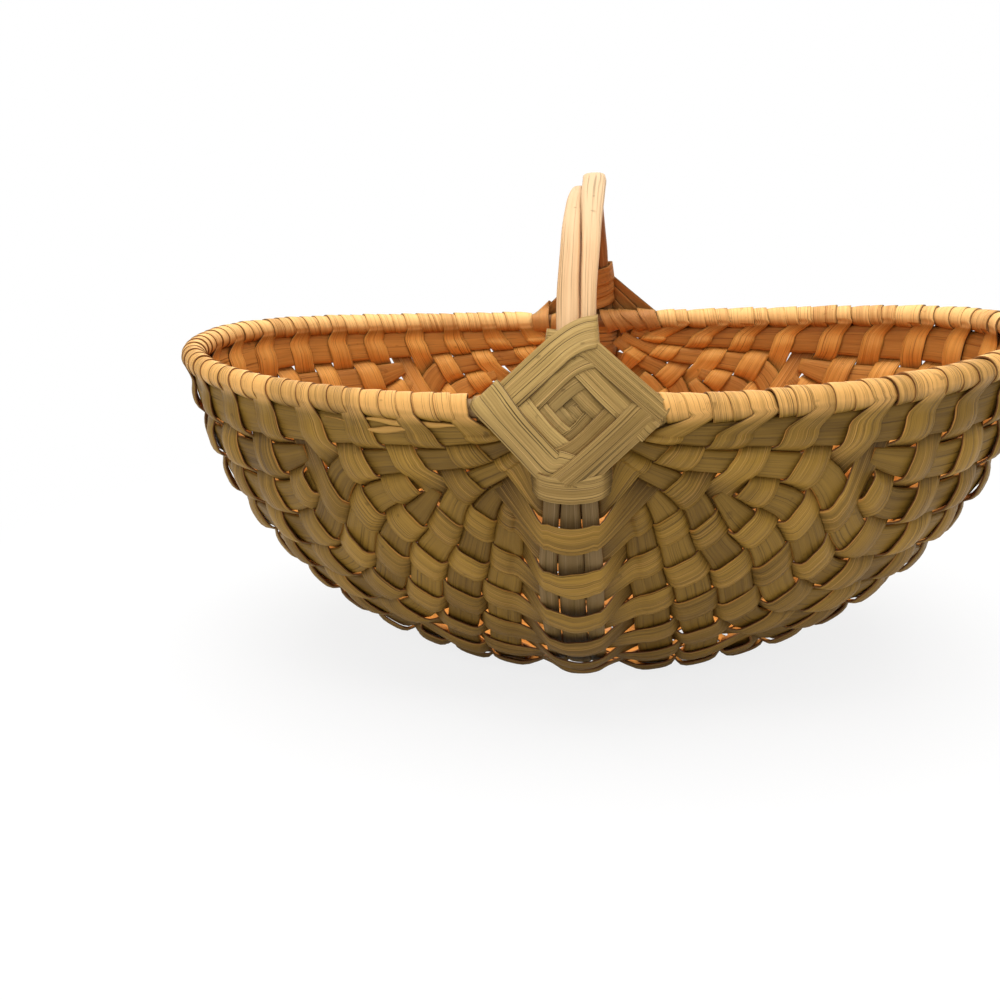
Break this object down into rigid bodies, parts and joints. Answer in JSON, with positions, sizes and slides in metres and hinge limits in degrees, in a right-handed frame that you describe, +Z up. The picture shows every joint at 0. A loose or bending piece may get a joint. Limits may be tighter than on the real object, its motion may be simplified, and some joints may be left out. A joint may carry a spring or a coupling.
{
  "type": "buttocks basket",
  "caption": "Two-lobed rib basket woven of flat splints, with an oval wrapped rim, a fixed hoop handle that runs on as the keel, and a diamond lashing at each ear.",
  "frame": {"origin": "on the ground under the middle of the basket", "axes": "+X along the rim's long axis, +Y across it from the front lashing to the rear one, +Z up"},
  "size_m": [0.3358, 0.1996, 0.201],
  "materials": {
    "rim": "bare split wood, darkened with age",
    "hoop": "bare split wood, smooth from handling",
    "rib": "bare split wood, rough grain",
    "weaver": "bare flat splint, fine grain lines",
    "lashing": "bare flat splint, fine grain lines"
  },
  "bodies": {
    "root": {"rim_hoop": "rim", "hoop_strand_left": "hoop", "hoop_strand_middle": "hoop", "hoop_strand_right": "hoop", "rib_left_1": "rib", "rib_left_2": "rib", "rib_left_3": "rib", "rib_left_4": "rib", "rib_left_5": "rib", "rib_left_6": "rib", "rib_left_7": "rib", "rib_left_8": "rib", "rib_left_9": "rib", "rib_left_10": "rib", "rib_left_11": "rib", "rib_right_1": "rib", "rib_right_2": "rib", "rib_right_3": "rib", "rib_right_4": "rib", "rib_right_5": "rib", "rib_right_6": "rib", "rib_right_7": "rib", "rib_right_8": "rib", "rib_right_9": "rib", "rib_right_10": "rib", "rib_right_11": "rib", "lashing_front": "lashing", "lashing_rear": "lashing", "weaver_1": "weaver", "weaver_2": "weaver", "weaver_3": "weaver", "weaver_4": "weaver", "weaver_5": "weaver", "weaver_6": "weaver", "weaver_7": "weaver", "weaver_8": "weaver", "weaver_9": "weaver"}
  },
  "joints": []
}
